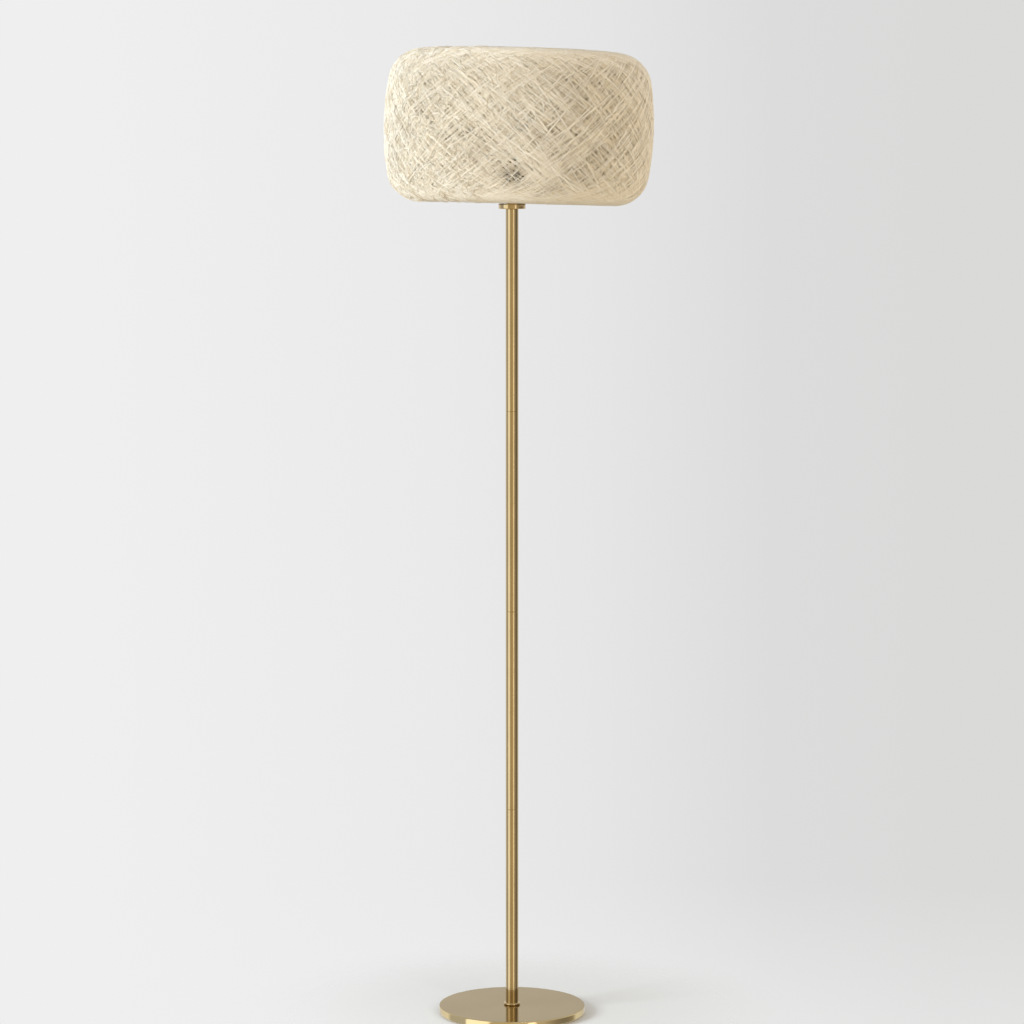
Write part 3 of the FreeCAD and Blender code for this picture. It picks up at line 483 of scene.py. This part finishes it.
def on_drum(s, theta, inset):
    """Point and outward normal, in the lamp's frame, inset from the drum's face. Past the rolled
    rim the strand turns back under the drum's own wall."""
    r, h, out_r, out_h = outline(s)
    far = np.abs(s)
    inset = inset * (1 - LIP_PRESS * ease((far - SIDE_L) / CORNER_L))
    past = far - MOUTH_S - ROLL_L
    tucked = past > 0
    lip_r, lip_h, lip_out_r, lip_out_h = outline(np.where(tucked, MOUTH_S - past, 0.0))
    under = 2 * ROLL_R - (2 * ROLL_R - UNDER_INSET) * ease(past / UNDER_L)
    sign = np.where(s < 0, -1.0, 1.0)
    r = np.where(tucked, lip_r - under * lip_out_r, r - inset * out_r)
    h = np.where(tucked, (lip_h - under * lip_out_h) * sign, h - inset * out_h)
    out_r = np.where(tucked, -lip_out_r, out_r)
    out_h = np.where(tucked, -lip_out_h * sign, out_h)
    return polar(theta, r, DRUM_MID_Z + h), polar(theta, out_r, out_h)


# ---- the wound strands -----------------------------------------------------------------------

# step along a route, and where strands start round the drum: by the golden ratio, with some scatter
FINE = 0.0025
GOLDEN = 0.618034
START_SCATTER = 0.0006

# looseness round the drum, and how it and the thin places narrow a strand
LOOSEST = math.radians(205)
LOOSE_MEAN = 0.5
LOOSE_SWING = 0.75
TIGHT_WIDTH = 1.60
LOOSE_LOSS = 0.72
PARTED_LOSS = 0.96
OTHER_LOSS = 0.15

# x, z, radius and depth of the thin places, low on the front, through which the lampholder shows
THIN_PLACES = ((0.001, 1.253, 0.020, 1.0), (0.043, 1.243, 0.010, 0.7))

# length of strand between two points on the side, where it is tight and how much less where it is
# loose, at the corner and on the roll, and how far before the corner and the roll these start
SIDE_STEP = 0.022
LOOSE_STEP = 0.009
CORNER_STEP = 0.010
ROLL_STEP = 0.0033
CORNER_EARLY = 0.004
ROLL_EARLY = 0.003

# strands that cross the drum once: their slopes in the middle, and how far they tuck in past the
# roll. One in three goes round the other way.
WRAP_SLOPES = (math.radians(48), math.radians(56))
WRAP_ROUTES = 24
WRAP_L = 0.60
TUCK = (0.014, 0.024)
OTHER_WAY = 3

# strands that swing between the rims: the least radius that each comes to, where on its route it
# starts and how far it runs, in steps of FINE, and the odds that it goes against its kind
WIDE_TURNS = (0.158, 0.170)
NARROW_TURNS = (0.1434, 0.152)
TURN_ROUTES = 10
TURN_L = 4.2
TURN_START = (0, 200)
TURN_STEPS = (1100, 1480)
AGAINST_ODDS = 0.2

# how a strand strays sideways, in shares of its layer's waviness, and in depth, in metres: amount
# and radians per metre of strand. The crumples come in patches, where it is loose.
SWAY = (1.0, 31)
FINE_SWAY = (0.6, 67)
CRUMPLE = (2.4, 190)
PATCH = (1.0, 23)
LIFT = (0.0006, 55)
LOOSE_LIFT = (0.0011, 140)
LEAST_DEPTH = 0.0002

# section of a strand: thickness, how its width swells along it, as amount, radians per metre and
# shift by tint, and the odds that it parts at a thin place, less what a pale tint takes off them
STRAND_T = (0.0005, 0.0008)
SWELLS = ((0.16, 70, 40), (0.10, 173, 90))
PARTED_ODDS = 1.6
PALE_ODDS = 1.2

# where a strand's UVs start along and across it, times its tint
UV_SHIFT = (7, 13)

# short curled ends: how far round they gather from the loosest side, how far up and down they lie,
# and how thin a place they still lie on
CURL_SIDE = 0.5
CURL_REACH = SIDE_L + 0.85 * CORNER_L
CURL_THINNEST = 0.25

# one curled end: its steps, its slope at the start, how it bends, how deep its ends lie, how far its
# middle stands off, its width and its thickness
CURL_STEP = 0.0048
CURL_STEPS = (3, 7)
CURL_SLOPES = (0.35, 1.15)
SLOPE_SCATTER = 0.15
CURL_BEND = 0.16
CURL_DEPTH = 0.0008
CURL_BOW = (0.0004, 0.0016)
CURL_W = (0.0008, 0.0012)
CURL_T = 0.0006


def geodesics(slopes, length):
    """Straightest paths over the drum from its middle, one per slope: s and theta at even steps."""
    steps = int(length / FINE)
    s = np.zeros((steps + 1, len(slopes)))
    theta = np.zeros_like(s)
    zero = np.zeros_like(slopes)
    state = np.stack([zero, zero, np.sin(slopes), np.cos(slopes) / DRUM_R])

    def rate(now):
        """How fast s, theta and their own rates change, on a surface turned round the pole."""
        r = outline(now[0])[0]
        slope = (outline(now[0] + 1e-5)[0] - outline(now[0] - 1e-5)[0]) / 2e-5
        return np.stack([now[2], now[3], r * slope * now[3] ** 2, -2 * slope / r * now[2] * now[3]])

    for i in range(steps):
        a = rate(state)
        b = rate(state + a * FINE / 2)
        c = rate(state + b * FINE / 2)
        d = rate(state + c * FINE)
        state = state + (a + 2 * b + 2 * c + d) * FINE / 6
        s[i + 1], theta[i + 1] = state[0], state[1]
    return s, theta


def thinned(s, theta, side_step):
    """Keeps as many of the fine steps as each stretch needs: s, theta and the length so far."""
    far = np.abs(s)
    step = np.where(far < SIDE_L - CORNER_EARLY, side_step, CORNER_STEP)
    step = np.where(far > MOUTH_S - ROLL_EARLY, ROLL_STEP, step)
    gone = np.floor(np.cumsum(FINE / step))
    keep = np.concatenate([[True], gone[1:] != gone[:-1]])
    keep[-1] = True
    return s[keep], theta[keep], np.arange(len(s))[keep] * FINE


def looseness(theta):
    """How loosely the strands lie round the drum: the left front is crumpled, the right is tight."""
    return np.clip(LOOSE_MEAN + LOOSE_SWING * np.cos(theta - LOOSEST), 0.0, 1.0)


def thinness(points):
    """How thin the winding is at these points: 1 where it is thinnest."""
    thin = np.zeros(points.shape[:-1])
    for x, z, radius, depth in THIN_PLACES:
        gap = np.linalg.norm(points - np.array([x, -DRUM_R, z]), axis=-1) / radius
        thin = np.maximum(thin, depth * np.exp(-(gap**4)))
    return thin


def fullness(points, parted):
    """Strands lie flat and wide on the tight side and thin on the loose one. A parted strand all
    but ends where it comes to a thin place."""
    theta = np.arctan2(points[:, 1], points[:, 0])
    loss = PARTED_LOSS if parted else OTHER_LOSS
    return (TIGHT_WIDTH - LOOSE_LOSS * looseness(theta)) * (1 - loss * thinness(points))


def ripple(gone, amount_and_rate, shift):
    """A wave along a strand."""
    amount, rate = amount_and_rate
    return amount * np.sin(gone * rate + shift)


def strand_mesh(paths, widths, thicks, tones):
    """One mesh of flat three-sided strands, open at their ends: its vertices, quads, UVs and tints.
    Each path has points, normals and the length so far."""
    verts, faces, uvs, tints = [], [], [], []
    start = 0
    for (points, normals, gone), width, thick, tone in zip(paths, widths, thicks, tones):
        n = len(points)
        along = np.gradient(points, axis=0)
        along /= np.linalg.norm(along, axis=1, keepdims=True)
        side = np.cross(along, normals)
        side /= np.linalg.norm(side, axis=1, keepdims=True)
        swell = 1 + sum(ripple(gone, (share, rate), tone * shift) for share, rate, shift in SWELLS)
        parted = RNG.random() < PARTED_ODDS - PALE_ODDS * tone
        half = (width * swell * fullness(points, parted) / 2)[:, None]
        base = points - normals * thick / 2
        ridge = points + normals * thick / 2
        block = np.stack([base - side * half, ridge, base + side * half], axis=1)
        verts.append(block.reshape(-1, 3))
        ids = start + np.arange(n)[:, None] * 3 + np.arange(3)[None, :]
        nxt = np.roll(ids, -1, axis=1)
        quads = np.stack([ids[:-1], nxt[:-1], nxt[1:], ids[1:]], axis=-1).reshape(-1, 4)
        faces.append(quads)
        u = np.repeat(gone[:, None], 3, axis=1) + tone * UV_SHIFT[0]
        v = np.tile(np.array([0.0, 0.5, 1.0]), (n, 1)) + tone * UV_SHIFT[1]
        uvs.append(np.stack([u, v], axis=-1).reshape(-1, 2))
        tints.append(np.full(n * 3, tone))
        start += n * 3
    return tuple(np.concatenate(part) for part in (verts, faces, uvs, tints))


def strands(name, paths, widths, thicks, tones, replaces=()):
    """A piece of many strands, with the UVs and the tint that its material reads."""
    verts, faces, uvs, tints = strand_mesh(paths, widths, thicks, tones)
    mesh = piece(name, verts, faces, FIBRE, "shade", replaces).data
    layer = mesh.uv_layers.new(name="strand")
    corner_vert = np.empty(len(mesh.loops), dtype=np.int32)
    mesh.loops.foreach_get("vertex_index", corner_vert)
    layer.data.foreach_set("uv", uvs[corner_vert].astype(np.float32).ravel())
    attribute = mesh.attributes.new("tint", "FLOAT", "POINT")
    attribute.data.foreach_set("value", tints.astype(np.float32))


def wind(name, wraps, turners, inset, width, tint, wave, *replaces):
    """A layer of the winding. wraps strands cross the drum once and roll over both rims; turners
    swing from lip to lip several times. inset and width are ranges, tint is a mean and a spread,
    wave is how far a strand strays, and replaces are the CAD nodes that the layer stands for."""
    paths, widths, thicks, tones = [], [], [], []

    def lay(s, theta):
        """Adds one strand along a route. It strays only on the drum, not where it rolls round a rim."""
        middle = looseness(theta[len(theta) // 2])
        s, theta, gone = thinned(s, theta, SIDE_STEP - LOOSE_STEP * middle)
        depth = RNG.uniform(*inset)
        loose = looseness(theta)
        a, b, c, d = RNG.uniform(0, 2 * math.pi, 4)
        crumple = loose * ripple(gone, CRUMPLE, c) * np.clip(ripple(gone, PATCH, d), 0, 1)
        drift = wave * (ripple(gone, SWAY, a) + ripple(gone, FINE_SWAY, b) + crumple)
        lift = ripple(gone, LIFT, d) + loose * ripple(gone, LOOSE_LIFT, b)
        on_face = np.abs(s) < MOUTH_S
        theta = theta + np.where(on_face, drift, 0.0) / DRUM_R
        depths = np.maximum(depth + np.where(on_face, lift, 0.0), LEAST_DEPTH)
        point, normal = on_drum(s, theta, depths)
        paths.append((hang(point), normal, gone))
        widths.append(RNG.uniform(*width))
        thicks.append(RNG.uniform(*STRAND_T))
        tones.append(np.clip(RNG.normal(*tint), 0.0, 1.0))

    def start_angle(i):
        """Where round the drum strand i starts."""
        return 2 * math.pi * ((i * GOLDEN + RNG.normal(0, START_SCATTER)) % 1)

    slopes = RNG.uniform(*WRAP_SLOPES, WRAP_ROUTES)
    fine_s, fine_theta = geodesics(slopes, WRAP_L)
    for i in range(wraps):
        k = i % len(slopes)
        s, theta = fine_s[:, k], fine_theta[:, k]
        stop = int(np.argmax(s > MOUTH_S + ROLL_L + RNG.uniform(*TUCK)))
        s = np.concatenate([-s[stop:0:-1], s[:stop]])
        theta = np.concatenate([-theta[stop:0:-1], theta[:stop]])
        way = 1 if i % OTHER_WAY == 0 else -1
        lay(s, way * theta + start_angle(i))
    radii = [RNG.uniform(*WIDE_TURNS, TURN_ROUTES), RNG.uniform(*NARROW_TURNS, TURN_ROUTES)]
    slopes = np.arccos(np.concatenate(radii) / DRUM_R)
    fine_s, fine_theta = geodesics(slopes, TURN_L)
    for i in range(turners):
        k = i % len(slopes)
        start = int(RNG.integers(*TURN_START))
        stop = start + int(RNG.integers(*TURN_STEPS))
        way = 1 if (k < TURN_ROUTES) != (RNG.random() < AGAINST_ODDS) else -1
        turned = start_angle(i)
        lay(fine_s[start:stop, k], way * (fine_theta[start:stop, k] - fine_theta[start, k]) + turned)
    strands(name, paths, widths, thicks, tones, replaces)


def curls(name, count, tint):
    """Short curled ends that stand a little loose on the crumpled side."""
    paths, widths, thicks, tones = [], [], [], []
    while len(paths) < count:
        theta = RNG.uniform(0, 2 * math.pi)
        if RNG.random() > looseness(theta + CURL_SIDE) ** 3:
            continue
        steps = int(RNG.integers(*CURL_STEPS))
        along = RNG.uniform(-1, 1) * CURL_REACH
        heading = RNG.choice([-1, 1]) * RNG.uniform(*CURL_SLOPES) + RNG.normal(0, SLOPE_SCATTER)
        bend = RNG.normal(0, CURL_BEND)
        s_at, theta_at = [along], [theta]
        for _ in range(steps):
            heading += bend + RNG.normal(0, CURL_BEND)
            s_at.append(s_at[-1] + CURL_STEP * math.sin(heading))
            theta_at.append(theta_at[-1] + CURL_STEP * math.cos(heading) / DRUM_R)
        s_at, theta_at = np.array(s_at), np.array(theta_at)
        if thinness(on_drum(s_at, theta_at, 0.0)[0]).max() > CURL_THINNEST:
            continue
        bow = np.sin(np.linspace(0, math.pi, steps + 1))
        point, normal = on_drum(s_at, theta_at, CURL_DEPTH)
        point = point + normal * (bow * RNG.uniform(*CURL_BOW))[:, None]
        paths.append((hang(point), normal, np.arange(steps + 1) * CURL_STEP))
        widths.append(RNG.uniform(*CURL_W))
        thicks.append(CURL_T)
        tones.append(np.clip(RNG.normal(*tint), 0.0, 1.0))
    strands(name, paths, widths, thicks, tones)


# each layer from the inside out, as wind() takes it. The tints darken from the outside in: painted shade
# on the deeper strands.
LAYERS = (
    ("winding_inner", 80, 45, (0.0046, 0.0084), (0.0014, 0.0019), (0.48, 0.13), 0.0006, "shade_core"),
    ("winding_middle", 95, 66, (0.0020, 0.0036), (0.0011, 0.0015), (0.52, 0.12), 0.0005),
    ("winding_outer", 110, 80, (0.0008, 0.0022), (0.0009, 0.0012), (0.55, 0.13), 0.0004, "shade_winding"),
    ("winding_face", 105, 76, (0.0003, 0.0012), (0.0008, 0.0011), (0.62, 0.14), 0.0004),
    ("winding_top", 110, 36, (0.0001, 0.0004), (0.0007, 0.0011), (0.97, 0.05), 0.0003),
)

for layer in LAYERS:
    wind(*layer)
curls("loose_ends", 3200, (0.66, 0.34))

# ---- cage wires ------------------------------------------------------------------------------

HOOP_Z = DRUM_H / 2 - WIRE_INSET - HOOP_WIRE_R
HOOP_POINTS = 144
RIB_CORNER_POINTS = 14
RIB_SIDE_POINTS = 9
ARM_POINTS = 40


def wire(name, path, radius, sides, node, closed=False):
    """A white wire of the cage, in place of a CAD one."""
    verts, faces = tube(hang(path), radius, sides, closed)
    piece(name, verts, faces, WHITE_WIRE, "shade", (node,))


def hoop(name, sign, node):
    """One of the two hoops inside the rolled rims."""
    theta = np.linspace(0, 2 * math.pi, HOOP_POINTS, endpoint=False)
    path = polar(theta, HOOP_R, DRUM_MID_Z + sign * HOOP_Z)
    wire(name, path, HOOP_WIRE_R, 12, node, closed=True)


def rib(i):
    """Upright wire from hoop to hoop, under the winding."""
    corner = np.linspace(SIDE_L, SIDE_L + CORNER_L, RIB_CORNER_POINTS)
    side = np.linspace(-SIDE_L, SIDE_L, RIB_SIDE_POINTS)[1:-1]
    r, h, out_r, out_h = outline(np.concatenate([-corner[::-1], side, corner]))
    inset = WIRE_INSET + RIB_WIRE_R
    theta = math.radians(FIRST_RIB + 360 / RIBS * i)
    path = polar(theta, r - inset * out_r, DRUM_MID_Z + h - inset * out_h)
    wire(f"rib_{i + 1}", path, RIB_WIRE_R, 8, f"cage_rib_{i + 1}")


def spider(i):
    """Arm from the hub, flat at first, up to the top hoop."""
    theta = math.radians(FIRST_ARM + 360 / ARMS * i)
    r = np.linspace(HUB_R - ARM_IN_HUB, HOOP_R, ARM_POINTS)
    rise = np.clip((r - ARM_FLAT_L) / (HOOP_R - ARM_FLAT_L), 0, 1)
    z = HUB_MID_Z + (DRUM_MID_Z + HOOP_Z - HUB_MID_Z) * rise
    wire(f"spider_{i + 1}", polar(theta, r, z), ARM_WIRE_R, 10, f"spider_arm_{i + 1}")


hoop("hoop_top", 1, "shade_top_ring")
hoop("hoop_bottom", -1, "shade_bottom_ring")
for i in range(RIBS):
    rib(i)
for i in range(ARMS):
    spider(i)

# ---- ring at the pole's foot -----------------------------------------------------------------

SHARP_ANGLE = math.radians(40)


def foot_ring():
    """Low turned ring with a round face that sits on the base round the pole."""
    low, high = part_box("base_collar")
    outer, round_r = float(high[0]), RING_H / 2
    turn = np.linspace(-math.pi / 2, math.pi / 2, 13)
    r = np.concatenate([[RING_BORE_R], outer - round_r + round_r * np.cos(turn), [RING_BORE_R]])
    z = float(low[2]) + np.concatenate([[0.0], round_r + round_r * np.sin(turn), [RING_H]])
    faces = ring_quads(len(r), SPOKES, closed=True)
    ring = piece("foot_ring", spun(r, z), faces, TURNED_BRASS, "stand", ("base_collar",))
    ring.data.set_sharp_from_angle(angle=SHARP_ANGLE)


foot_ring()

# ---- room ------------------------------------------------------------------------------------


def floor_paint():
    """Pale paint that fades into the room's colour away from the lamp."""
    mat, t, shader = material("floor_paint", rough=0.95)
    shader.inputs["Specular IOR Level"].default_value = 0.1
    where = t.place()
    cloud = t.noise(where, 0.8, 2.0)
    t.put(shader.inputs["Base Color"], t.mix(cloud, (0.745, 0.735, 0.712), (0.755, 0.745, 0.722)))
    x, y, _ = t.split(where)
    blend = t.add("MixShader")
    t.put(blend.inputs[0], t.spread(t.reach(x, y), FADE_FROM_R, FADE_TO_R, 1.0, 0.0, smooth=True))
    t.put(blend.inputs[1], t.add("BsdfTransparent").outputs[0])
    t.put(blend.inputs[2], shader.outputs[0])
    t.put(mat.node_tree.nodes["Material Output"].inputs["Surface"], blend.outputs[0])
    return mat


def floor():
    """Round floor. The brass mirrors the room and not this disc, whose edge would show in it."""
    rings = 16
    radius = np.linspace(0.0, FLOOR_R, rings + 1)[1:]
    verts = np.vstack([spun(radius, np.zeros(rings)), [[0.0, 0.0, 0.0]]])
    faces = [[rings * SPOKES, k, (k + 1) % SPOKES] for k in range(SPOKES)]
    faces += [quad[::-1] for quad in ring_quads(rings, SPOKES)]
    mesh = bpy.data.meshes.new("floor")
    mesh.from_pydata(verts.tolist(), [], faces)
    mesh.materials.append(floor_paint())
    obj = bpy.data.objects.new("floor", mesh)
    SCENE.collection.objects.link(obj)
    obj.visible_glossy = False


def lamp(name, place_at, aim, size, energy, colour=(1, 1, 1), glossy=True, spread=180):
    """An area lamp that faces a point. The camera never sees it, and brass only if glossy."""
    light = bpy.data.lights.new(name, "AREA")
    light.shape = "RECTANGLE"
    light.size, light.size_y = size
    light.energy = energy
    light.spread = math.radians(spread)
    light.color = colour
    obj = bpy.data.objects.new(name, light)
    SCENE.collection.objects.link(obj)
    obj.location = place_at
    way = np.array(aim) - np.array(place_at)
    obj.rotation_euler = (
        math.atan2(math.hypot(way[0], way[1]), -way[2]),
        0.0,
        math.atan2(way[1], way[0]) - math.pi / 2,
    )
    obj.visible_camera = False
    obj.visible_glossy = glossy


# where the world's colours change, as a direction's x, y or z from -1 to 1: how far to each side the
# picture sees, where the wall meets the ground, where the room's side meets its ceiling and where
# it meets the wall behind the lamp
PICTURE_X = 0.18
GROUND_Z = (-0.245, -0.205)
CEILING_Z = (0.2, 0.9)
WALL_Y = (0.38, 0.52)


def world():
    """What the camera sees behind the lamp, and the room that lights it and shows in the brass."""
    sky = bpy.data.worlds.new("room")
    sky.use_nodes = True
    SCENE.world = sky
    t = Nodes(sky.node_tree)
    x, y, z = t.split(t.place("Generated"))
    across = t.spread(x, -PICTURE_X, PICTURE_X)
    wall = t.ramp(
        across,
        [
            (0.14, (0.863, 0.863, 0.863)),
            (0.435, (0.823, 0.823, 0.823)),
            (0.575, (0.784, 0.784, 0.784)),
            (0.72, (0.715, 0.715, 0.713)),
            (0.86, (0.70, 0.70, 0.693)),
        ],
    )
    ground = t.ramp(
        across,
        [(0.14, (0.863, 0.863, 0.863)), (0.5, (0.84, 0.84, 0.84)), (0.86, (0.765, 0.765, 0.76))],
    )
    wall = t.mix(t.spread(z, *GROUND_Z), ground, wall)
    side = t.ramp(
        t.spread(x, -1.0, 1.0),
        [
            (0.0, (0.46, 0.48, 0.52)),
            (0.2, (0.50, 0.45, 0.36)),
            (0.45, (0.55, 0.47, 0.29)),
            (0.6, (0.62, 0.53, 0.36)),
            (0.88, (0.50, 0.46, 0.40)),
            (0.97, (0.26, 0.235, 0.20)),
            (1.0, (0.18, 0.17, 0.165)),
        ],
    )
    room = t.mix(t.spread(z, *CEILING_Z), side, (0.52, 0.52, 0.52))
    room = t.mix(t.spread(y, *WALL_Y), room, wall)
    seen = t.add("LightPath").outputs["Is Camera Ray"]
    shader = sky.node_tree.nodes["Background"]
    t.put(shader.inputs["Color"], t.mix(seen, room, wall))
    shader.inputs["Strength"].default_value = 1.0


def around(degrees, distance, height):
    """A place this far from the pole; 0 degrees is the camera's side and plus is to the right."""
    a = math.radians(degrees)
    return (distance * math.sin(a), -distance * math.cos(a), height)


floor()
world()
lamp("window_left", around(-56, 2.7, 0.6), (0, 0, 0.6), (2.0, 4.2), 21.5, (0.97, 0.99, 1.0))
lamp("strip_right", around(31, 2.4, 0.6), (0, 0, 0.6), (0.5, 4.2), 7.0, (1.0, 0.97, 0.93))
lamp("key_left", around(-60, 3.2, 1.5), (0, 0, 1.2), (1.2, 1.2), 111.0, (0.80, 0.90, 1.0), glossy=False)
lamp("fill_front", around(25, 3.4, 1.5), (0, 0, 1.2), (1.5, 1.5), 35.0, (1.0, 0.97, 0.90), glossy=False)
lamp("fill_top", (0.2, -0.6, 3.6), (0, 0.1, 0), (2.5, 2.5), 6.0, glossy=False)
lamp(
    "glow_right",
    around(95, 1.8, 1.33),
    (0, 0, 1.33),
    (0.8, 0.5),
    0.5,
    (1.0, 0.80, 0.52),
    glossy=False,
    spread=50,
)

# ---- camera ----------------------------------------------------------------------------------

CAMERA_D = 4.836
CAMERA_Z = 1.219
CAMERA_DOWN = math.radians(5.43)
FOCAL_PX = 3262.0
IMAGE_PX = 1024.0
SENSOR = 36.0

eye = bpy.data.cameras.new("camera")
eye.sensor_width = SENSOR
eye.lens = FOCAL_PX / IMAGE_PX * SENSOR
eye.clip_end = 60.0
camera = bpy.data.objects.new("camera", eye)
camera.location = (0.0, -CAMERA_D, CAMERA_Z)
camera.rotation_euler = (math.pi / 2 - CAMERA_DOWN, 0.0, 0.0)
SCENE.collection.objects.link(camera)
SCENE.camera = camera
SCENE.view_settings.view_transform = "Standard"
